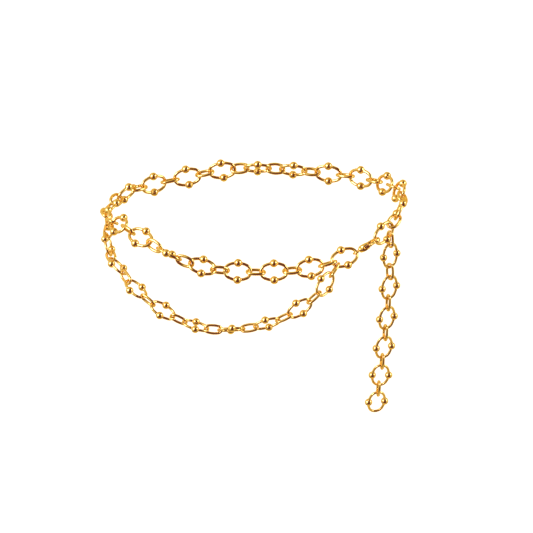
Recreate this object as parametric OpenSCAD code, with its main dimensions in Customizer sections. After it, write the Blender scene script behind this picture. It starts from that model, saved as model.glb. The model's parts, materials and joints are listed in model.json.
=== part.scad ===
// Waist chain with a draped front strand, a hanging tail and a lobster clasp,
// in the form it takes when it is worn. The waist's axis is Z, the front is -Y.

/* [Belt] */
// Outer length of a large oval ring of the belt
belt_ring_len = 26.4; // [25.8:0.2:28]
// Outer width of a large oval ring of the belt
belt_ring_w = 18; // [17.5:0.1:20]
// Round bead soldered on each long side of a belt ring
belt_bead_d = 7.3; // [5.8:0.1:7.6]
// Outer length of a connector of the belt
belt_link_len = 18.4; // [18:0.2:20]
// Outer width of a connector of the belt
belt_link_w = 12.4; // [11.8:0.1:12.8]
// Radius of a belt connector's rounder ends, along the middle of its wire
belt_link_end_r = 4.1; // [4:0.05:4.2]
// Wire of the belt's rings and connectors
belt_wire = 2.8; // [2.4:0.1:2.8]

/* [Draped strand and tail] */
// Outer length of a large oval ring of the finer strands
fine_ring_len = 25.6; // [25:0.2:27]
// Outer width of a large oval ring of the finer strands
fine_ring_w = 17.5; // [16.9:0.1:19]
// Round bead soldered on each long side of a finer ring
fine_bead_d = 6.8; // [5:0.1:7]
// Outer length of a connector of the finer strands
fine_link_len = 17.4; // [17:0.2:19]
// Outer width of a connector of the finer strands
fine_link_w = 10; // [9.6:0.1:10.6]
// Radius of a finer connector's rounder ends, along the middle of its wire
fine_link_end_r = 3.3; // [3.15:0.05:3.5]
// Wire of the finer rings and connectors
fine_wire = 2.4; // [2:0.1:2.5]

/* [Links] */
// Radius of a large ring's rounder ends, along the middle of its wire
ring_end_r = 6.4; // [6.1:0.1:6.8]
// How much thicker a solder joint is than its wire
solder = 0.15; // [0.1:0.05:0.4]
// Free play between two wires that hang in each other
play = 0.5; // [0.45:0.05:0.7]

/* [Strands] */
// Large rings in the closed loop round the waist
loop_rings = 22; // [20:1:24]
// Large rings of the loop that belong to its back half
back_rings = 14; // [13:1:15]
// Large rings in the draped strand
swag_rings = 9; // [9:1:11]
// Large rings in the hanging tail
drop_rings = 6; // [3:1:8]
// Depth of the worn waist as a share of its width
waist_depth = 0.7; // [0.62:0.02:0.8]
// Height of the hip over the level waist line, as a share of half the width
hip_rise = 0.15; // [0.1:0.01:0.2]

/* [Clasp] */
// Distance between the joints at the clasp's two ends
clasp_len = 24; // [23:0.5:28]
// Thickness of the clasp across its flat cheeks
clasp_t = 5.4; // [4.6:0.1:5.6]
// Height of the clasp's body at its widest
clasp_h = 11.2; // [10.8:0.1:11.8]
// Thickness of the hook
hook_d = 2.8; // [2.4:0.1:3.2]
// Wire of the eye at the clasp's end
eye_wire = 1.6; // [1.4:0.1:1.8]
// Outer diameter of the eye
eye_d = 8; // [7.6:0.2:9]
// Thickness of the lever between the cheeks
lever_t = 2.4; // [2:0.1:2.6]
// Pin that the lever turns on
pin_d = 1.4; // [1.2:0.1:1.6]
// Clearance between the lever and what it moves in
lever_gap = 0.2; // [0.15:0.05:0.3]
// Round thumb knob on the lever
knob_d = 3; // [2.4:0.1:3.4]

/* [Hidden] */
$fn = 72;
gold = "gold";

// An oval along the middle of its wire: half length, half width, radius of its rounder ends
function oval(length, width, wire, end_r) = [(length - wire) / 2, (width - wire) / 2, end_r];
belt_ring = oval(belt_ring_len, belt_ring_w, belt_wire, ring_end_r);
belt_link = oval(belt_link_len, belt_link_w, belt_wire, belt_link_end_r);
fine_ring = oval(fine_ring_len, fine_ring_w, fine_wire, ring_end_r);
fine_link = oval(fine_link_len, fine_link_w, fine_wire, fine_link_end_r);
// Radius of an oval's long sides, and the angle where they meet its ends
function side_r(o) = ((o.x - o.z) ^ 2 + o.y ^ 2 - o.z ^ 2) / (2 * (o.y - o.z));
function join(o) = atan2(side_r(o) - o.y, o.x - o.z);
// Distance between the middles of two wires that hang in each other
belt_hold = belt_wire + play;
fine_hold = fine_wire + play;
mixed_hold = (belt_wire + fine_wire) / 2 + play;
// Joint to joint length of each kind of link
belt_ring_step = 2 * belt_ring.x - belt_hold;
belt_link_step = 2 * belt_link.x - belt_hold;
fine_ring_step = 2 * fine_ring.x - fine_hold;
fine_link_step = 2 * fine_link.x - fine_hold;
fine_pitch = fine_ring_step + fine_link_step;

// Route round the waist, as shares of half the width, half the depth and the hip's rise
WAIST = [
    // across, fore and aft, up
    [0.85, -0.43, 0.15],
    [1.00, 0.07, 1.00],
    [0.83, 0.66, 0.40],
    [0.48, 0.95, 0.15],
    [-0.08, 1.00, 0.30],
    [-0.57, 0.99, -0.30],
    [-0.89, 0.68, -0.25],
    [-1.01, 0.17, -0.20],
    [-0.87, -0.40, 0.50],
    [-0.47, -0.83, -0.15],
    [-0.08, -0.80, -0.75],
    [0.44, -0.70, -0.70]
];
// Where the first large ring starts on that route, in points of the list
waist_start = -0.1;

// Route of the draped strand between its two ends, as shares of half the width,
// half the depth and half the width again
SWAG = [
    // across, fore and aft, up
    [-1.00, -0.28, -0.11],
    [-0.92, -0.62, -0.15],
    [-0.72, -0.98, -0.27],
    [-0.40, -1.08, -0.43],
    [-0.08, -1.05, -0.46],
    [0.20, -1.03, -0.38],
    [0.42, -0.93, -0.24]
];

// Route of the hanging tail from the ring that carries it, as shares of its length
DROP = [
    // across, fore and aft, up
    [0.000, 0.000, 0.00],
    [0.000, 0.000, -0.25],
    [-0.015, 0.020, -0.50],
    [-0.035, 0.060, -0.75],
    [-0.060, 0.120, -1.00]
];

// Turn of each large ring about its own length, from upright against the body,
// counted from the clasp along the back to the front
WAIST_TURN = [-15, 25, 30, 30, 10, 0, -30, -40, 0, 10, 8,
              -20, -50, 0, -45, -60, -120, -65, -30, -18, -18, -50];
SWAG_TURN = [30, 60, 88, 100, 85, 55, 35, 12, 3];
DROP_TURN = [25, 32, 35, 45, 65, 65];
// Turn of each connector about its own length, from square to its neighbours
WAIST_LINK_TURN = [0, 15, 0, -5, 10, 5, 0, -10, 0, 10,
                   12, -5, -5, -5, 0, 0, 5, -15, 20, 20, 10];
SWAG_LINK_TURN = [5, -5, 5, 20, 15, 10, -20, -18, -12, -5];
DROP_LINK_TURN = [5, -10, 10, 5, 0, 0];

function unit(v) = v / norm(v);
// Part of v that is square to the direction u
function square_to(v, u) = unit(v - (v * u) * u);

// Smooth curve through the points p, at t counted in points; closed or open
function at(p, i, closed) =
    let (n = len(p))
    closed ? p[(i % n + n) % n]
    : i < 0 ? 2 * p[0] - p[1]
    : i >= n ? 2 * p[n - 1] - p[n - 2]
    : p[i];
function curve(p, t, closed) =
    let (
        i = closed ? floor(t) : min(floor(t), len(p) - 2),
        f = t - i,
        p0 = at(p, i - 1, closed),
        p1 = at(p, i, closed),
        p2 = at(p, i + 1, closed),
        p3 = at(p, i + 2, closed)
    )
    (2 * p1 + (p2 - p0) * f + (2 * p0 - 5 * p1 + 4 * p2 - p3) * f * f
        + (3 * p1 - p0 - 3 * p2 + p3) * f * f * f) / 2;

// Step along a curve from t to the place that lies one chord further
function chord_step(p, t, chord, closed, dt, n = 8) =
    n == 0 ? t + dt
    : chord_step(p, t, chord, closed,
        dt * chord / norm(curve(p, t + dt, closed) - curve(p, t, closed)), n - 1);
// Places of the joints along a curve, one chord apart
function walk(p, t, chords, closed, i = 0) =
    i == len(chords) ? [t]
    : let (dt = chords[i] / norm(curve(p, t + 0.5, closed) - curve(p, t, closed)) / 2)
      concat([t], walk(p, chord_step(p, t, chords[i], closed, dt), chords, closed, i + 1));
function last(v) = v[len(v) - 1];

// The loop: its route is scaled until the rings, connectors and clasp close it
loop_chords = [for (k = [0 : 2 * loop_rings - 1])
    k == 2 * loop_rings - 1 ? clasp_len : k % 2 == 0 ? belt_ring_step : belt_link_step];
loop_shape = [for (w = WAIST) [w.x, w.y * waist_depth, w.z * hip_rise]];
function closing(k, n = 8) =
    n == 0 ? k
    : closing(k * (last(walk(k * loop_shape, waist_start, loop_chords, true)) - waist_start)
        / len(WAIST), n - 1);
half_w = closing((belt_ring_step + belt_link_step) * loop_rings / 5.4);
loop_route = half_w * loop_shape;
loop_joints = [for (t = walk(loop_route, waist_start, loop_chords, true))
    curve(loop_route, t, true)];

// Outward direction of the body at a point beside the waist
function outward(p) = unit([p.x, p.y / (waist_depth * waist_depth), 0]);
// Direction of a ring's width, turned about its length from upright
function ring_width(a, b, turn) =
    let (
        u = unit(b - a),
        out = square_to(outward((a + b) / 2), u),
        up = cross(out, u)
    )
    cos(turn) * up + sin(turn) * out;
// Direction that two neighbours' widths have in common
function shared(w1, w2) = w1 * w2 < 0 ? w1 - w2 : w1 + w2;

loop_widths = [for (i = [0 : loop_rings - 1])
    ring_width(loop_joints[2 * i], loop_joints[2 * i + 1], WAIST_TURN[i % len(WAIST_TURN)])];

stop_short = 0.1;
// Point of an oval whose outward direction in its plane is at angle f
function oval_point(o, f) =
    let (c = cos(f), s = sin(f), flat = side_r(o) - o.y, out = o.x - o.z)
    abs(s) * out <= abs(c) * flat
    ? [sign(c) * out + o.z * c, o.z * s]
    : [side_r(o) * c, side_r(o) * s - sign(s) * flat];

// Place and run of the wire of loop ring i at angle f
function wire_point(i, f) =
    let (
        a = loop_joints[2 * i],
        b = loop_joints[2 * i + 1],
        q = oval_point(belt_ring, f)
    )
    (a + b) / 2 + q.x * unit(b - a) + q.y * loop_widths[i];
function wire_run(i, f) =
    let (a = loop_joints[2 * i], b = loop_joints[2 * i + 1])
    cos(f) * loop_widths[i] - sin(f) * unit(b - a);
// Joint of a link that hangs on that wire and is pulled towards a point
function hung_joint(i, f, target) =
    let (
        w = wire_point(i, f),
        pull = unit(target - w)
    )
    w - pull * (mixed_hold / norm(cross(pull, wire_run(i, f))) - fine_hold / 2);

// Rings of the loop that carry the draped strand's ends and the tail, and where
swag_from = back_rings - 1;
swag_from_angle = -66;
swag_to = loop_rings - 1;
swag_to_angle = -133;
drop_from = 0;
drop_angle = -75;

// The draped strand: its sag is set so that its links just reach the other end
swag_points = [for (s = SWAG) half_w * [s.x, s.y * waist_depth, s.z]];
swag_a = hung_joint(swag_from, swag_from_angle, swag_points[0]);
swag_b = hung_joint(swag_to, swag_to_angle, last(swag_points));
swag_chords = [for (k = [0 : 2 * swag_rings]) k % 2 == 0 ? fine_link_step : fine_ring_step];
function swag_route(k) =
    let (n = len(swag_points))
    concat([swag_a],
        [for (i = [0 : n - 1])
            let (
                f = (i + 1) / (n + 1),
                base = swag_a * (1 - f) + swag_b * f
            )
            base + k * (swag_points[i] - base)],
        [swag_b]);
function swag_end(k) = last(walk(swag_route(k), 0, swag_chords, false));
function sagging(lo, hi, n = 24) =
    let (mid = (lo + hi) / 2)
    n == 0 ? mid
    : swag_end(mid) > len(swag_points) + 1 ? sagging(mid, hi, n - 1)
    : sagging(lo, mid, n - 1);
swag_curve = swag_route(sagging(0.3, 2));
swag_joints = [for (t = walk(swag_curve, 0, swag_chords, false)) curve(swag_curve, t, false)];
swag_widths = [for (i = [0 : swag_rings - 1])
    ring_width(swag_joints[2 * i + 1], swag_joints[2 * i + 2], SWAG_TURN[i % len(SWAG_TURN)])];

// The tail
drop_chords = [for (k = [0 : 2 * drop_rings - 1]) k % 2 == 0 ? fine_link_step : fine_ring_step];
drop_a = hung_joint(drop_from, drop_angle, wire_point(drop_from, drop_angle) - [0, 0, fine_pitch]);
drop_curve = [for (d = DROP) drop_a + d * drop_rings * fine_pitch];
drop_joints = [for (t = walk(drop_curve, 0, drop_chords, false)) curve(drop_curve, t, false)];
drop_widths = [for (i = [0 : drop_rings - 1])
    ring_width(drop_joints[2 * i + 1], drop_joints[2 * i + 2], DROP_TURN[i % len(DROP_TURN)])];

// The clasp: its eye holds the loop's last ring and its hook the first
eye_x = belt_hold / 2 - (belt_wire + eye_wire) / 2 - play + (eye_d - eye_wire) / 2;
hook_r = (clasp_h - hook_d) / 2;
hook_x = clasp_len - belt_hold / 2 + (belt_wire + hook_d) / 2 + play - hook_r;
spine_r = 4 * clasp_h;
tip_angle = 75;
neck_x = eye_x + eye_d / 2 - eye_wire;
neck_d = 2 * eye_wire;
pin_x = clasp_len * 0.44;
pin_y = clasp_h * 0.15;
body_d = clasp_h * 0.96;
shoulder_d = body_d * 0.9;
shoulder_back = body_d * 0.2;
lever_r = pin_d / 2 + 1.2;
rivet_d = pin_d + 0.6;
rivet_rise = 0.25;
rivet_sink = 0.5;
// The hook starts inside the spine, which is a little thicker
spine_d = hook_d + 0.2;
hook_from = -96;
hook_tip_d = hook_d + 0.2;
// The lever's arm is an arc with a round tip, which ends just short of the hook's tip
arm_w = 2;
arm_tip_d = arm_w + 0.1;
arm_r = 2 * clasp_h;
tip_x = hook_x + hook_r * cos(tip_angle) - (hook_d + arm_w) / 2 - play;
tip_y = hook_r * sin(tip_angle);
knob_x = (pin_x + tip_x) / 2;
arm_x = knob_x;
arm_y = tip_y - sqrt(arm_r ^ 2 - (tip_x - arm_x) ^ 2);
arm_from = acos((tip_x - arm_x) / arm_r);
arm_to = acos((pin_x - arm_x) / arm_r);

// Puts a piece with its length from a to b and its face towards a direction
module between(a, b, face) {
    x = unit(b - a);
    z = square_to(face, x);
    y = cross(z, x);
    m = (a + b) / 2;
    multmatrix([
        [x.x, y.x, z.x, m.x],
        [x.y, y.y, z.y, m.y],
        [x.z, y.z, z.z, m.z],
        [0, 0, 0, 1]
    ])
        children();
}

module wire_arc(r, from, to, wire) {
    rotate([0, 0, from])
        rotate_extrude(angle = to - from)
            translate([r, 0])
                circle(d = wire);
}

// Wire bent to an oval and soldered, length along X and width along Y. Its four arcs
// stop just inside the solder joints.
module wire_oval(o, wire) {
    end_stop = stop_short / o.z * 180 / PI;
    side_stop = stop_short / side_r(o) * 180 / PI;
    turn = join(o);
    for (half = [0, 180])
        rotate([0, 0, half]) {
            translate([o.x - o.z, 0, 0]) {
                wire_arc(o.z, end_stop - turn, turn - end_stop, wire);
                for (side = [-1, 1])
                    translate([o.z * cos(turn), side * o.z * sin(turn), 0])
                        sphere(d = wire + solder);
            }
            translate([0, o.y - side_r(o), 0])
                wire_arc(side_r(o), turn + side_stop, 180 - turn - side_stop, wire);
        }
}

module large_ring(o, wire, bead_d) {
    wire_oval(o, wire);
    for (side = [-1, 1])
        translate([0, side * o.y, 0])
            sphere(d = bead_d);
}

module ring_between(a, b, width, o, wire, bead_d) {
    between(a, b, cross(unit(b - a), width))
        large_ring(o, wire, bead_d);
}

module connector_between(a, b, w1, w2, turn, o, wire) {
    between(a, b, shared(w1, w2))
        rotate([turn, 0, 0])
            wire_oval(o, wire);
}

// Links first to final of the loop; even ones are large rings
module loop_links(first, final) {
    for (k = [first : final])
        if (k % 2 == 0)
            ring_between(loop_joints[k], loop_joints[k + 1], loop_widths[k / 2],
                belt_ring, belt_wire, belt_bead_d);
        else
            connector_between(loop_joints[k], loop_joints[k + 1],
                loop_widths[(k - 1) / 2], loop_widths[(k + 1) / 2],
                WAIST_LINK_TURN[(k - 1) / 2 % len(WAIST_LINK_TURN)], belt_link, belt_wire);
}

// A strand that starts with a connector; run_a and run_b are the wires at its ends
module hung_strand(joints, widths, turns, run_a, run_b) {
    ends = concat([run_a], widths, run_b == undef ? [] : [run_b]);
    for (k = [0 : len(joints) - 2])
        if (k % 2 == 0)
            connector_between(joints[k], joints[k + 1], ends[k / 2], ends[k / 2 + 1],
                turns[k / 2 % len(turns)], fine_link, fine_wire);
        else
            ring_between(joints[k], joints[k + 1], widths[(k - 1) / 2],
                fine_ring, fine_wire, fine_bead_d);
}

module waist_chain_front() {
    color(gold)
        loop_links(2 * back_rings - 1, 2 * loop_rings - 2);
}

module waist_chain_back() {
    color(gold)
        loop_links(0, 2 * back_rings - 2);
}

module swag_chain() {
    color(gold)
        hung_strand(swag_joints, swag_widths, SWAG_LINK_TURN,
            wire_run(swag_from, swag_from_angle), wire_run(swag_to, swag_to_angle));
}

module drop_chain() {
    color(gold)
        hung_strand(drop_joints, drop_widths, DROP_LINK_TURN, wire_run(drop_from, drop_angle));
}

// The clasp lies along X from the joint at its eye to the joint at its hook. Its
// profile is in XY with the lever on +Y, and the lever's pin runs along Z.
module eye() {
    translate([eye_x, 0, 0])
        rotate_extrude()
            translate([(eye_d - eye_wire) / 2, 0])
                circle(d = eye_wire);
}

module hook() {
    tip_stop = stop_short / hook_r * 180 / PI;
    translate([hook_x, 0, 0]) {
        wire_arc(hook_r, hook_from, tip_angle - tip_stop, hook_d);
        translate([hook_r * cos(tip_angle), hook_r * sin(tip_angle), 0])
            sphere(d = hook_tip_d);
        translate([0, spine_r - hook_r, 0])
            wire_arc(spine_r, -90 - asin((hook_x - pin_x) / spine_r), -90, spine_d);
    }
}

module body_blank() {
    intersection() {
        union() {
            translate([neck_x, 0, 0])
                rotate([0, 90, 0])
                    cylinder(d1 = neck_d, d2 = shoulder_d, h = pin_x - shoulder_back - neck_x);
            translate([pin_x, 0, 0])
                sphere(d = body_d);
        }
        translate([0, -body_d, -clasp_t / 2])
            cube([pin_x + body_d, 2 * body_d, clasp_t]);
    }
}

// Room that the lever turns in, between the cheeks
module lever_slot() {
    slot_r = lever_r + lever_gap;
    slot_t = lever_t + 2 * lever_gap;
    translate([pin_x, pin_y, -slot_t / 2]) {
        cylinder(r = slot_r, h = slot_t);
        translate([-slot_r, 0, 0])
            cube([slot_r + body_d, body_d, slot_t]);
        translate([0, -slot_r, 0])
            cube([body_d, slot_r + body_d, slot_t]);
    }
}

module lever_pin() {
    translate([pin_x, pin_y, -clasp_t / 2])
        cylinder(d = pin_d, h = clasp_t);
    for (side = [-1, 1])
        translate([pin_x, pin_y, side * (clasp_t + rivet_rise - rivet_sink) / 2])
            cylinder(d = rivet_d, h = rivet_rise + rivet_sink, center = true);
}

module lever() {
    difference() {
        union() {
            translate([pin_x, pin_y, -lever_t / 2])
                cylinder(r = lever_r, h = lever_t);
            translate([arm_x, arm_y, 0])
                rotate([0, 0, arm_from])
                    rotate_extrude(angle = arm_to - arm_from)
                        translate([arm_r - arm_w / 2, -lever_t / 2])
                            square([arm_w, lever_t]);
            translate([tip_x, tip_y, -lever_t / 2])
                cylinder(d = arm_tip_d, h = lever_t);
            translate([knob_x, arm_y + arm_r + knob_d / 3, 0])
                sphere(d = knob_d);
        }
        translate([pin_x, pin_y, -lever_t])
            cylinder(d = pin_d + lever_gap, h = 2 * lever_t);
    }
}

module at_clasp() {
    w = shared(last(loop_widths), loop_widths[0]);
    between(loop_joints[2 * loop_rings - 1], loop_joints[0], -w)
        translate([-clasp_len / 2, 0, 0])
            children();
}

module clasp_body() {
    color(gold)
        at_clasp() {
            difference() {
                union() {
                    body_blank();
                    hook();
                }
                lever_slot();
            }
            eye();
            lever_pin();
        }
}

module clasp_lever() {
    color(gold)
        at_clasp()
            lever();
}

waist_chain_front();
waist_chain_back();
swag_chain();
drop_chain();
clasp_body();
clasp_lever();
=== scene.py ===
import json
import math

import bpy
import numpy as np
from mathutils import Matrix, Vector


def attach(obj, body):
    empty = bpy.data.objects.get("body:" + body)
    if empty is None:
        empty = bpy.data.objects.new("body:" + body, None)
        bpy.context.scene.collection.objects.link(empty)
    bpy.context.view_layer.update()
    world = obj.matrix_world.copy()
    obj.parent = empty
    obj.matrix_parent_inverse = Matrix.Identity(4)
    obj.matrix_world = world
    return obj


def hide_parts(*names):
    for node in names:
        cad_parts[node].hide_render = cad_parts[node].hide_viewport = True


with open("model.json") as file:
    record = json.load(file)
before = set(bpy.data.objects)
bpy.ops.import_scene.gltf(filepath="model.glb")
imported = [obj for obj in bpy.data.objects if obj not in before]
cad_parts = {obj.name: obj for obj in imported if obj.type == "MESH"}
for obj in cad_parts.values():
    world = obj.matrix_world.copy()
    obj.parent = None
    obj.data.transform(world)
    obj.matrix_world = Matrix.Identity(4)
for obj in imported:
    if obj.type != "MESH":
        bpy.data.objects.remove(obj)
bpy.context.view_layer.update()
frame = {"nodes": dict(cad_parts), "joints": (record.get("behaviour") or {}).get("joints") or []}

MM = 0.001

# Free play between two wires that hang in each other, in millimetres
PLAY = 0.5

# What the eye sees of the soldering, in millimetres: how far the wire swells at a joint and
# how far along it that reaches, and the fillet between a wire and its bead
SOLDER = 0.15
SOLDER_SPREAD = 0.9
BEAD_FILLET = 0.5

# Fineness of the meshes: points round a wire, millimetres from loop to loop, the fewest
# loops of an arc, loops along a bead and along a fillet, and points round the clasp's solids
WIRE_SIDES = 28
STEP_MM = 0.75
FEWEST_STEPS = 4
BEAD_STEPS = 20
FILLET_STEPS = 4
ROUND_SIDES = 48

# Points closer than this are welded, in millimetres: a wire's two ends, and a CAD node's
# loose triangles
WIRE_WELD = 0.02
CAD_WELD = 0.001

# A loop whose size changes by less than this share keeps it
SAME_SIZE = 1e-6

# The camera's view of the photograph
PHOTO_PX = 533
MM_PER_PX = 0.9
ORIGIN_PX = (255.0, 219.5)
ELEVATION = 27.0
CAMERA_AWAY = 5.5
CAMERA_REACH = 100.0
SENSOR_MM = 36.0

FLOOR_Z = -0.45
FLOOR_SIZE = 40.0

# The studio's walls: the way each lies in, how nearly one has to look that way for it to
# start and to be full, and its light as linear red, green and blue
WALLS = (
    ((-0.9, 0, 0.43), 0.30, 0.60, (0.88, 0.77, 0.45)),
    ((1, 0, 0), 0.60, 0.85, (0.88, 0.77, 0.45)),
    ((0, 1, 0), 0.10, 0.60, (0.81, 0.60, 0.165)),
    ((0, 0, 1), 0.92, 0.995, (0.83, 0.64, 0.225)),
    ((0, 0, -1), 0.60, 0.90, (0.84, 0.63, 0.205)),
)
DARK_OPENING = (0.15, 0.05, 0.07)

# The lamps: strength, then width, height and side in degrees, where side 0 is the front and
# positive is the right, then colour, and whether the metal mirrors it. The key lamp is
# slightly rosy, because the photograph's highlights are cream rather than yellow.
LAMPS = {
    "key": (1.7, 33, 31, -62, (0.97, 0.87, 1.1), True),
    "edge": (0.9, 28, 30, 84, (1, 1, 1), True),
    "floor_fill": (1.6, 60, 85, 0, (1, 1, 1), False),
}

# The gold plate's two tones, its roughness where it is fresh and where it is worn, and the
# size of its patterns in millimetres: patches of tone, patches of wear, and the waves that
# tumbling leaves. Real wear is hairlines far finer than the render can show, so it is drawn
# as patches.
PLATE_TONES = ("#f7cf80", "#fad890")
PLATE_ROUGHNESS = (0.06, 0.16)
TONE_PATCH = 7.0
WEAR_PATCH = 1.4
WAVE = 2.2
WAVE_DEPTH = 0.03

# Piece names of the strands, the CAD nodes that they stand for and their gauge
STRANDS = {
    "belt_front": ("waist_chain_front", "belt"),
    "belt_back": ("waist_chain_back", "belt"),
    "draped_strand": ("swag_chain", "fine"),
    "tail_strand": ("drop_chain", "fine"),
}


def linear(hex_colour):
    """An sRGB hex colour as linear red, green, blue and alpha."""
    def channel(text):
        c = int(text, 16) / 255
        return c / 12.92 if c <= 0.04045 else ((c + 0.055) / 1.055) ** 2.4
    return tuple(channel(hex_colour[i:i + 2]) for i in (1, 3, 5)) + (1.0,)


def node(tree, kind, settings=(), links=()):
    """Adds a shader node, with its settings by attribute or input name and its links."""
    made = tree.nodes.new(kind)
    for name, value in dict(settings).items():
        if isinstance(name, int) or name in made.inputs:
            made.inputs[name].default_value = value
        else:
            setattr(made, name, value)
    for name, socket in dict(links).items():
        tree.links.new(socket, made.inputs[name])
    return made


# Camera, light and floor

def aim_camera():
    """Looks from the front and above, with the origin at its pixel of the photograph."""
    e = math.radians(ELEVATION)
    right = Vector((1, 0, 0))
    ahead = Vector((0, math.cos(e), -math.sin(e)))
    up = right.cross(ahead)
    mid = PHOTO_PX / 2
    target = ((mid - ORIGIN_PX[0]) * right - (mid - ORIGIN_PX[1]) * up) * MM_PER_PX * MM
    data = bpy.data.cameras.new("camera")
    data.sensor_width = SENSOR_MM
    data.lens = SENSOR_MM * CAMERA_AWAY / (PHOTO_PX * MM_PER_PX * MM)
    data.clip_end = CAMERA_REACH
    camera = bpy.data.objects.new("camera", data)
    camera.location = target - ahead * CAMERA_AWAY
    camera.rotation_euler = ahead.to_track_quat("-Z", "Y").to_euler()
    bpy.context.scene.collection.objects.link(camera)
    bpy.context.scene.camera = camera


def room():
    """A soft studio: pale walls at the sides, amber ones elsewhere, a dark opening in front."""
    world = bpy.data.worlds.new("studio")
    bpy.context.scene.world = world
    world.use_nodes = True
    tree = world.node_tree
    tree.nodes.clear()
    way = node(tree, "ShaderNodeTexCoord").outputs["Generated"]

    def wall(towards, dark_at, bright_at, colour):
        share = node(tree, "ShaderNodeVectorMath", {"operation": "DOT_PRODUCT", 1: towards},
                     {0: way})
        level = node(tree, "ShaderNodeMapRange", {
            "interpolation_type": "SMOOTHSTEP", "From Min": dark_at, "From Max": bright_at},
            {"Value": share.outputs["Value"]})
        return node(tree, "ShaderNodeVectorMath", {"operation": "SCALE", 0: colour},
                    {"Scale": level.outputs["Result"]}).outputs[0]

    light, *others = [wall(*row) for row in WALLS]
    for other in others:
        light = node(tree, "ShaderNodeVectorMath", {"operation": "MAXIMUM"},
                     {0: light, 1: other}).outputs[0]
    seen = node(tree, "ShaderNodeVectorMath", {"operation": "MAXIMUM", 1: DARK_OPENING},
                {0: light})
    shade = node(tree, "ShaderNodeBackground", links={"Color": seen.outputs[0]})
    node(tree, "ShaderNodeOutputWorld", links={"Surface": shade.outputs[0]})


def hang_lamps():
    for name, (strength, width, height, side, colour, mirrored) in LAMPS.items():
        data = bpy.data.lights.new(name, "SUN")
        data.energy = strength
        data.color = colour
        data.angle = math.radians(width)
        lamp = bpy.data.objects.new(name, data)
        lamp.rotation_euler = (math.radians(90 - height), 0, math.radians(side))
        lamp.visible_glossy = mirrored
        bpy.context.scene.collection.objects.link(lamp)


def lay_floor():
    """Pale paper far below the chain, which the metal doesn't mirror."""
    bpy.ops.mesh.primitive_plane_add(size=FLOOR_SIZE, location=(0, 0, FLOOR_Z))
    floor = bpy.context.object
    floor.name = "floor"
    mat = bpy.data.materials.new("pale_paper")
    mat.use_nodes = True
    shader = mat.node_tree.nodes["Principled BSDF"]
    shader.inputs["Base Color"].default_value = linear("#f6f5f3")
    shader.inputs["Roughness"].default_value = 0.9
    shader.inputs["Specular IOR Level"].default_value = 0.1
    floor.data.materials.append(mat)
    floor.visible_glossy = False


# Finishes

def gold_plate():
    """Gold plated brass, tumbled to a mirror: bright, softly waved, and duller where worn."""
    mat = bpy.data.materials.new("gold_plated_brass_polished")
    mat.use_nodes = True
    tree = mat.node_tree
    shader = tree.nodes["Principled BSDF"]
    place = node(tree, "ShaderNodeTexCoord").outputs["Object"]
    warm = node(tree, "ShaderNodeTexNoise", {"Scale": 1 / (TONE_PATCH * MM), "Detail": 2.0},
                {"Vector": place})
    tone = node(tree, "ShaderNodeMix", {"data_type": "RGBA"}, {"Factor": warm.outputs["Fac"]})
    tone.inputs["A"].default_value = linear(PLATE_TONES[0])
    tone.inputs["B"].default_value = linear(PLATE_TONES[1])
    tree.links.new(tone.outputs["Result"], shader.inputs["Base Color"])
    shader.inputs["Metallic"].default_value = 1.0
    wear = node(tree, "ShaderNodeTexNoise", {"Scale": 1 / (WEAR_PATCH * MM), "Detail": 4.0},
                {"Vector": place})
    rough = node(tree, "ShaderNodeMapRange",
                 {"To Min": PLATE_ROUGHNESS[0], "To Max": PLATE_ROUGHNESS[1]},
                 {"Value": wear.outputs["Fac"]})
    tree.links.new(rough.outputs["Result"], shader.inputs["Roughness"])
    wave = node(tree, "ShaderNodeTexNoise", {"Scale": 1 / (WAVE * MM), "Detail": 1.0},
                {"Vector": place})
    dents = node(tree, "ShaderNodeBump", {"Strength": 1.0, "Distance": WAVE_DEPTH * MM},
                 {"Height": wave.outputs["Fac"]})
    tree.links.new(dents.outputs["Normal"], shader.inputs["Normal"])
    return mat


# Selecting and editing

def edit(obj):
    """Opens one piece in edit mode, with no other object selected."""
    bpy.ops.object.select_all(action="DESELECT")
    obj.select_set(True)
    bpy.context.view_layer.objects.active = obj
    bpy.ops.object.mode_set(mode="EDIT")


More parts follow.
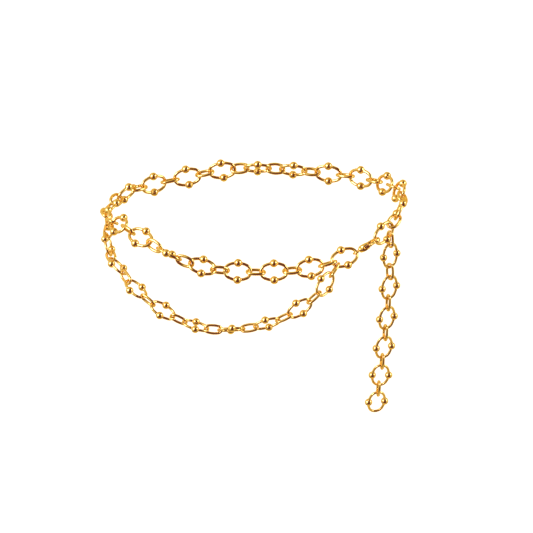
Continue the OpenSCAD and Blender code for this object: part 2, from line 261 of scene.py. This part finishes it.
class Sweep:
    """A wire in the XY plane that grows from a circle, one loop of points at a time."""

    def __init__(self, name, start, wire, heading=90.0):
        bpy.ops.object.select_all(action="DESELECT")
        self.at = Vector(start) * MM
        self.radius = wire / 2
        turn = (math.pi / 2, 0, math.radians(heading - 90))
        bpy.ops.mesh.primitive_circle_add(vertices=WIRE_SIDES, radius=self.radius * MM,
                                          location=self.at, rotation=turn)
        self.obj = bpy.context.object
        self.obj.name = self.obj.data.name = name
        bpy.ops.object.transform_apply(location=True, rotation=True, scale=True)
        edit(self.obj)
        bpy.ops.mesh.select_all(action="SELECT")

    def swell(self, radius):
        """Brings the newest loop to a radius in millimetres."""
        k = radius / self.radius
        if abs(k - 1) > SAME_SIZE:
            bpy.ops.transform.resize(value=(k, k, k), center_override=self.at)
        self.radius = radius

    def spin(self, centre, degrees, radius, sink=0.0):
        """Carries the wire on round a centre; sink moves the new loop towards it."""
        c = Vector(centre) * MM
        bpy.ops.mesh.spin(steps=1, dupli=False, angle=math.radians(degrees), center=c,
                          axis=(0, 0, -1))
        self.at = c + Matrix.Rotation(math.radians(degrees), 3, "Z") @ (self.at - c)
        if sink:
            step = (c - self.at).normalized() * sink * MM
            bpy.ops.transform.translate(value=step)
            self.at = self.at + step
        self.swell(radius)

    def run(self, step, radius):
        """Carries the wire straight on."""
        v = Vector(step) * MM
        bpy.ops.mesh.extrude_region_move(TRANSFORM_OT_translate={"value": v})
        self.at = self.at + v
        self.swell(radius)

    def fill(self):
        """Closes the two open ends."""
        bpy.ops.mesh.select_all(action="SELECT")
        bpy.ops.mesh.fill_holes(sides=0)
        return self.done()

    def close(self):
        """Welds the last loop to the first."""
        bpy.ops.mesh.select_all(action="SELECT")
        bpy.ops.mesh.remove_doubles(threshold=WIRE_WELD * MM)
        return self.done()

    def done(self):
        """Turns the faces outwards and shades them smooth."""
        bpy.ops.mesh.select_all(action="SELECT")
        bpy.ops.mesh.normals_make_consistent(inside=False)
        bpy.ops.object.mode_set(mode="OBJECT")
        bpy.ops.object.shade_smooth()
        return self.obj


# Rings and connectors

class Oval:
    """An oval of wire, in millimetres: four arcs along its middle, soldered where they meet.

    a and b are half its length and width along the wire's middle, side_r is the radius of
    its long sides, and join the angle at which an end meets a side.
    """

    def __init__(self, length, width, wire, end_r, bead=0.0):
        self.wire, self.end_r, self.bead = wire, end_r, bead
        self.a = (length - wire) / 2
        self.b = (width - wire) / 2
        rise = self.a - end_r
        self.side_r = (rise ** 2 + self.b ** 2 - end_r ** 2) / (2 * (self.b - end_r))
        self.join = math.degrees(math.atan2(self.side_r - self.b, rise))

    def joint(self):
        """Half the distance between the places where its neighbours hang in it."""
        return self.a - (self.wire + PLAY) / 2

    def thick(self, distance):
        """Radius of the wire near a solder joint, which swells a little."""
        if distance >= SOLDER_SPREAD:
            return self.wire / 2
        return self.wire / 2 + SOLDER / 4 * (1 + math.cos(math.pi * distance / SOLDER_SPREAD))


# The large ring and the connector of each gauge, as the frame has them
GAUGES = {
    "belt": (Oval(26.4, 18.0, 2.8, 6.4, bead=7.3), Oval(18.4, 12.4, 2.8, 4.1)),
    "fine": (Oval(25.6, 17.5, 2.4, 6.4, bead=6.8), Oval(17.4, 10.0, 2.4, 3.3)),
}


def steps_along(degrees, radius):
    """How many loops of points an arc takes."""
    return max(FEWEST_STEPS, round(math.radians(abs(degrees)) * radius / STEP_MM))


def plain_side(oval, start, stop):
    """Loops of a long side's wire: angle from its middle, radius, depth towards the centre."""
    n = steps_along(start - stop, oval.side_r)
    half = 90 - oval.join
    angles = [start + (stop - start) * i / n for i in range(n)]
    return [(a, oval.thick(math.radians(half - abs(a)) * oval.side_r), 0) for a in angles]


def beaded_side(oval):
    """Loops of a long side with its bead, which sits in a small fillet of solder."""
    w, r, f = oval.wire / 2, oval.bead / 2, BEAD_FILLET
    far = math.sqrt((r + f) ** 2 - (w + f) ** 2)
    turn = math.asin(far / (r + f))
    loops = plain_side(oval, 90 - oval.join, math.degrees(math.asin(far / oval.side_r)))

    def rest(along, radius, share=1.0):
        a = math.asin(along / oval.side_r)
        loops.append((math.degrees(a), radius, oval.side_r * (1 - math.cos(a)) * share))

    for i in range(FILLET_STEPS):
        t = turn * i / FILLET_STEPS
        rest(far - f * math.sin(t), w + f - f * math.cos(t), i / FILLET_STEPS)
    for i in range(BEAD_STEPS // 2 + 1):
        t = math.pi / 2 - turn + 2 * turn * i / BEAD_STEPS
        rest(r * math.cos(t), r * math.sin(t))
    return loops + [(-a, radius, deep) for a, radius, deep in reversed(loops[:-1])]


def sweep_side(wire, oval, centre):
    """A long side, with its bead if the oval has beads."""
    if oval.bead:
        loops = beaded_side(oval)
    else:
        half = 90 - oval.join
        loops = plain_side(oval, half, -half) + [(-half, oval.thick(0), 0)]
    for before, after in zip(loops, loops[1:]):
        wire.spin(centre, before[0] - after[0], after[1], after[2] - before[2])


def sweep_end(wire, oval, centre, start, stop):
    """A rounder end, from one angle to another about its own axis."""
    n = steps_along(stop - start, oval.end_r)
    for i in range(1, n + 1):
        to_joint = math.radians(oval.join - abs(start + (stop - start) * i / n)) * oval.end_r
        wire.spin(centre, (stop - start) / n, oval.thick(max(to_joint, 0)))


def bent_wire(name, oval):
    """A whole oval, swept once round from the middle of an end."""
    end = oval.a - oval.end_r
    wire = Sweep(name, (oval.a, 0, 0), oval.wire)
    sweep_end(wire, oval, (end, 0, 0), 0, oval.join)
    sweep_side(wire, oval, (0, oval.b - oval.side_r, 0))
    sweep_end(wire, oval, (-end, 0, 0), -oval.join, oval.join)
    sweep_side(wire, oval, (0, oval.side_r - oval.b, 0))
    sweep_end(wire, oval, (end, 0, 0), -oval.join, 0)
    return wire.close()


# Places of the links, from the frame's own solids

# A large ring with its beads has more than this many times a connector's volume
RING_TO_CONNECTOR = 1.7


def solids_of(cad):
    """The separate solids of a CAD node, as corner triples."""
    copy = cad.copy()
    copy.data = cad.data.copy()
    bpy.context.scene.collection.objects.link(copy)
    copy.parent = None
    edit(copy)
    bpy.ops.mesh.select_all(action="SELECT")
    bpy.ops.mesh.remove_doubles(threshold=CAD_WELD * MM)
    bpy.ops.mesh.separate(type="LOOSE")
    bpy.ops.object.mode_set(mode="OBJECT")
    found = []
    for part in list(bpy.context.selected_objects):
        mesh = part.data
        mesh.calc_loop_triangles()
        points = np.empty(len(mesh.vertices) * 3)
        mesh.vertices.foreach_get("co", points)
        corners = np.empty(len(mesh.loop_triangles) * 3, int)
        mesh.loop_triangles.foreach_get("vertices", corners)
        found.append(points.reshape(-1, 3)[corners].reshape(-1, 3, 3))
        bpy.data.objects.remove(part)
        bpy.data.meshes.remove(mesh)
    return found


def spread(triangles):
    """Volume, centre and axes of a closed solid, the axes from the thinnest to the longest."""
    origin = triangles.mean(axis=(0, 1))
    t = triangles - origin
    vol = np.einsum("ij,ij->i", t[:, 0], np.cross(t[:, 1], t[:, 2])) / 6
    total = vol.sum()
    middle = (vol[:, None] * t.sum(1) / 4).sum(0) / total
    corner_sum = t.sum(1)
    second = (np.einsum("i,ikj,ikl->jl", vol, t, t)
              + np.einsum("i,ij,il->jl", vol, corner_sum, corner_sum)) / 20
    _, axes = np.linalg.eigh(second / total - np.outer(middle, middle))
    return total, origin + middle, axes.T


def bead_line(triangles, centre, normal, stand_off):
    """Direction from one bead of a ring to the other, from what stands off the ring's plane."""
    middle = triangles.mean(axis=1) - centre
    sides = np.diff(triangles, axis=1)
    area = np.linalg.norm(np.cross(sides[:, 0], sides[:, 1]), axis=1)
    high = np.abs(middle @ normal) > stand_off
    _, axes = np.linalg.eigh((middle[high] * area[high, None]).T @ middle[high])
    line = axes[:, 2] - (axes[:, 2] @ normal) * normal
    return line / np.linalg.norm(line)


def link_places(cad, ring):
    """Kind, centre, length direction and width direction of each link in a strand."""
    links = [(triangles, *spread(triangles)) for triangles in solids_of(cad)]
    connector_volume = min(volume for _, volume, _, _ in links)
    # Halfway between the wire's radius and the bead's, so only the beads reach past it
    stand_off = (ring.wire + ring.bead) / 4 * MM
    places = []
    for triangles, volume, centre, (thin, mid, wide) in links:
        if volume > RING_TO_CONNECTOR * connector_volume:
            width = Vector(bead_line(triangles, centre, thin, stand_off))
            places.append(("ring", Vector(centre), width.cross(Vector(thin)), width))
        else:
            places.append(("connector", Vector(centre), Vector(wide), Vector(mid)))
    return places


def put(template, centre, length, width):
    """A copy of a link with its own mesh, with its place in the mesh."""
    normal = length.cross(width)
    place = Matrix((length, width, normal)).transposed().to_4x4()
    place.translation = centre
    copy = template.copy()
    copy.data = template.data.copy()
    copy.data.transform(place)
    bpy.context.scene.collection.objects.link(copy)
    return copy


def join(copies, name):
    """Makes one piece of several."""
    bpy.ops.object.select_all(action="DESELECT")
    for copy in copies:
        copy.select_set(True)
    bpy.context.view_layer.objects.active = copies[0]
    bpy.ops.object.join()
    made = bpy.context.object
    made.name = made.data.name = name
    return made


def finish_piece(piece, material, body, cad):
    """Gives a piece its finish and the body that it rides on, and hides the CAD node it stands
    for.
    """
    piece.data.materials.clear()
    piece.data.materials.append(material)
    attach(piece, body)
    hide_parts(cad)


def strands(material):
    """Builds the four strands, and gives the places of the belt's links by piece."""
    templates = {
        gauge: {"ring": bent_wire(gauge + "_ring", ring),
                "connector": bent_wire(gauge + "_connector", link)}
        for gauge, (ring, link) in GAUGES.items()}
    places = {}
    for name, (cad, gauge) in STRANDS.items():
        places[name] = link_places(frame["nodes"][cad], GAUGES[gauge][0])
        copies = [put(templates[gauge][kind], *where) for kind, *where in places[name]]
        finish_piece(join(copies, name), material, "chain", cad)
    for pair in templates.values():
        for template in pair.values():
            bpy.data.objects.remove(template)
    return places


# The clasp. It is modelled along X from the joint at its eye to the joint at its hook, in
# millimetres as the frame has it, with the lever on +Y and the lever's pin along Z.

CLASP_LEN = 24.0
CLASP_T = 5.4

# The eye, the neck behind it and the shoulder, where the neck's cone meets the round body
EYE_X, EYE_D, EYE_WIRE = 2.15, 8.0, 1.6
NECK_X, NECK_D = 4.55, 3.2
SHOULDER_X, SHOULDER_D = 8.41, 9.68
BODY_D = 10.75

# The lever's pin, riveted over at both ends, which sits in the body's own centre along X
PIN = (10.56, 1.68)
PIN_D, RIVET_D, RIVET_RISE = 1.4, 2.0, 0.3

# The hook and the spine that carries it: radii along their middle, thickness, and turn in
# degrees. Both are made broader along Z, and the hook's end is rounded off over TIP_ROUND.
HOOK_X, HOOK_R, HOOK_D, HOOK_TURN = 21.45, 4.2, 2.8, 165.0
HOOK_BREADTH = 1.5
TIP_ROUND = 80.0
SPINE_R, SPINE_D, SPINE_TURN = 44.8, 3.0, 14.0

# The lever: its thickness and play in the slot, its knuckle round the pin, its curved arm
# about (ARM_X, ARM_Y), its round tip, and its knob with how far that stands off the arm
LEVER_T, LEVER_GAP, KNUCKLE_R = 2.4, 0.2, 1.9
ARM_R, ARM_W, ARM_TURN = 22.4, 2.0, 23.4
ARM_X, ARM_Y = 15.1, -17.88
TIP_D = 2.1
KNOB_D, KNOB_OFF = 3.0, 1.0

# How finely a casting is melted together, and how far and how often its edges are worn
CAST_VOXEL = 0.15
WEAR_SHARE = 0.5
WEAR_PASSES = 6


def placed(add, at, **size):
    """A primitive at its place in millimetres, with its turn and size in its mesh."""
    bpy.ops.object.select_all(action="DESELECT")
    add(location=Vector(at) * MM, **size)
    made = bpy.context.object
    bpy.ops.object.transform_apply(location=True, rotation=True, scale=True)
    return made


def disc(x, y, diameter, thickness):
    """A disc in the XY plane."""
    return placed(bpy.ops.mesh.primitive_cylinder_add, (x, y, 0), vertices=ROUND_SIDES,
                  radius=diameter / 2 * MM, depth=thickness * MM)


def ball(x, y, diameter, z=0.0, flat=1.0):
    """A ball, or a flatter dome with less height along Z."""
    return placed(bpy.ops.mesh.primitive_uv_sphere_add, (x, y, z), segments=ROUND_SIDES,
                  ring_count=ROUND_SIDES // 2, radius=diameter / 2 * MM, scale=(1, 1, flat))


def block(low, high):
    """A block between its lowest and its highest corner."""
    low, high = Vector(low), Vector(high)
    return placed(bpy.ops.mesh.primitive_cube_add, (low + high) / 2, size=1,
                  scale=(high - low) * MM)


def apply(obj, kind, **settings):
    """Adds a modifier to one piece and applies it."""
    bpy.ops.object.select_all(action="DESELECT")
    obj.select_set(True)
    bpy.context.view_layer.objects.active = obj
    modifier = obj.modifiers.new(kind.lower(), kind)
    for name, value in settings.items():
        setattr(modifier, name, value)
    bpy.ops.object.modifier_apply(modifier=modifier.name)
    return obj


def merge(obj, operation, *others):
    """Adds, cuts out or keeps the other solids' room, and takes them away."""
    for other in others:
        apply(obj, "BOOLEAN", operation=operation, solver="EXACT", object=other)
        bpy.data.objects.remove(other)
    return obj


def cast(obj, name):
    """Melts what was joined into one casting with worn edges."""
    apply(obj, "REMESH", mode="VOXEL", voxel_size=CAST_VOXEL * MM)
    apply(obj, "SMOOTH", factor=WEAR_SHARE, iterations=WEAR_PASSES)
    bpy.ops.object.shade_smooth()
    obj.name = obj.data.name = name
    return obj


def clasp_hook():
    """Spine and hook in one tapering sweep, with a rounded tip."""
    start = math.radians(-90 - SPINE_TURN)
    centre = (HOOK_X, SPINE_R - HOOK_R, 0)
    at = (centre[0] + SPINE_R * math.cos(start), centre[1] + SPINE_R * math.sin(start), 0)
    wire = Sweep("hook", at, SPINE_D, heading=-SPINE_TURN)
    n = steps_along(SPINE_TURN, SPINE_R)
    for _ in range(n):
        wire.spin(centre, SPINE_TURN / n, SPINE_D / 2)
    n = 2 * steps_along(HOOK_TURN, HOOK_R)
    for i in range(1, n + 1):
        radius = (SPINE_D + (HOOK_D - SPINE_D) * i / n) / 2
        wire.spin((HOOK_X, 0, 0), HOOK_TURN / n, radius)
    end = math.radians(HOOK_TURN - 90)
    way = Vector((-math.sin(end), math.cos(end), 0))
    r, along = HOOK_D / 2, 0.0
    for i in range(1, FILLET_STEPS + 1):
        t = math.radians(TIP_ROUND) * i / FILLET_STEPS
        wire.run(way * (r * math.sin(t) - along), r * math.cos(t))
        along = r * math.sin(t)
    bpy.ops.mesh.select_all(action="SELECT")
    bpy.ops.transform.resize(value=(1, 1, HOOK_BREADTH), center_override=(0, 0, 0))
    return wire.fill()


def clasp_body():
    """A round body cut flat at both faces, with its hook, eye and pin and a slot for the lever."""
    x, y = PIN
    slot_t, slot_r = LEVER_T + 2 * LEVER_GAP, KNUCKLE_R + LEVER_GAP
    shell = ball(x, 0, BODY_D)
    shoulder = placed(bpy.ops.mesh.primitive_cone_add, ((NECK_X + SHOULDER_X) / 2, 0, 0),
                      vertices=ROUND_SIDES, radius1=NECK_D / 2 * MM, radius2=SHOULDER_D / 2 * MM,
                      depth=(SHOULDER_X - NECK_X) * MM, rotation=(0, math.pi / 2, 0))
    merge(shell, "UNION", shoulder)
    merge(shell, "INTERSECT", block((0, -BODY_D, -CLASP_T / 2), (2 * x, BODY_D, CLASP_T / 2)))
    merge(shell, "UNION", clasp_hook())
    merge(shell, "DIFFERENCE", disc(x, y, 2 * slot_r, slot_t),
          block((x - slot_r, y, -slot_t / 2), (x + BODY_D, y + BODY_D, slot_t / 2)),
          block((x, y - slot_r, -slot_t / 2), (x + BODY_D, y + BODY_D, slot_t / 2)))
    eye = placed(bpy.ops.mesh.primitive_torus_add, (EYE_X, 0, 0), major_segments=2 * ROUND_SIDES,
                 minor_segments=WIRE_SIDES, major_radius=(EYE_D - EYE_WIRE) / 2 * MM,
                 minor_radius=EYE_WIRE / 2 * MM)
    rivets = [ball(x, y, RIVET_D, side * CLASP_T / 2, 2 * RIVET_RISE / RIVET_D)
              for side in (-1, 1)]
    body = join([shell, eye, disc(x, y, PIN_D, CLASP_T - RIVET_RISE), *rivets], "clasp_body")
    return cast(body, "lobster_body")


def clasp_lever():
    """A curved strip with a round tip, a knuckle round the pin and a knob for the thumb."""
    turn = math.radians(90 - ARM_TURN / 2)
    centre = Vector((ARM_X, ARM_Y, 0))
    tip = centre + Vector((math.cos(turn), math.sin(turn), 0)) * ARM_R
    bpy.ops.object.select_all(action="DESELECT")
    bpy.ops.mesh.primitive_plane_add(size=MM, location=tip * MM, rotation=(math.pi / 2, 0, turn))
    arm = bpy.context.object
    arm.scale = (ARM_W, LEVER_T, 1)
    bpy.ops.object.transform_apply(location=True, rotation=True, scale=True)
    edit(arm)
    bpy.ops.mesh.select_all(action="SELECT")
    bpy.ops.mesh.spin(steps=ROUND_SIDES // 2, dupli=False, angle=math.radians(ARM_TURN),
                      center=centre * MM, axis=(0, 0, -1))
    bpy.ops.mesh.select_all(action="SELECT")
    bpy.ops.mesh.normals_make_consistent(inside=False)
    bpy.ops.object.mode_set(mode="OBJECT")
    merge(arm, "UNION", disc(*PIN, 2 * KNUCKLE_R, LEVER_T - LEVER_GAP / 2),
          disc(tip.x, tip.y, TIP_D, LEVER_T - LEVER_GAP),
          ball(ARM_X, ARM_Y + ARM_R + KNOB_OFF, KNOB_D))
    merge(arm, "DIFFERENCE", disc(*PIN, PIN_D + LEVER_GAP, 2 * LEVER_T))
    return cast(arm, "lobster_lever")


def clasp_place(places):
    """Where the clasp lies between the belt's two ends, from the frame."""
    hinge = frame["joints"][0]
    pin, z = Vector(hinge["pos_m"]), Vector(hinge["axis"])
    reach = GAUGES["belt"][0].joint() * MM

    def nearest(name):
        ends = [centre + side * reach * length for kind, centre, length, _ in places[name]
                if kind == "ring" for side in (-1, 1)]
        return min(ends, key=lambda end: (end - pin).length)

    eye_end, hook_end = nearest("belt_front"), nearest("belt_back")
    x = (hook_end - eye_end).normalized()
    z = (z - z.dot(x) * x).normalized()
    y = z.cross(x)
    if y.dot(pin - eye_end) < 0:
        y, z = -y, -z
    place = Matrix((x, y, z)).transposed().to_4x4()
    place.translation = (eye_end + hook_end) / 2 - x * CLASP_LEN / 2 * MM
    return place


def clasp(material, places):
    """Casts the body and the lever, and lays them where the frame has them."""
    place = clasp_place(places)
    for piece, body, cad in ((clasp_body(), "chain", "clasp_body"),
                             (clasp_lever(), "lever", "clasp_lever")):
        piece.data.transform(place)
        finish_piece(piece, material, body, cad)


aim_camera()
room()
hang_lamps()
lay_floor()
gold = gold_plate()
clasp(gold, strands(gold))
bpy.context.scene.view_settings.view_transform = "Standard"
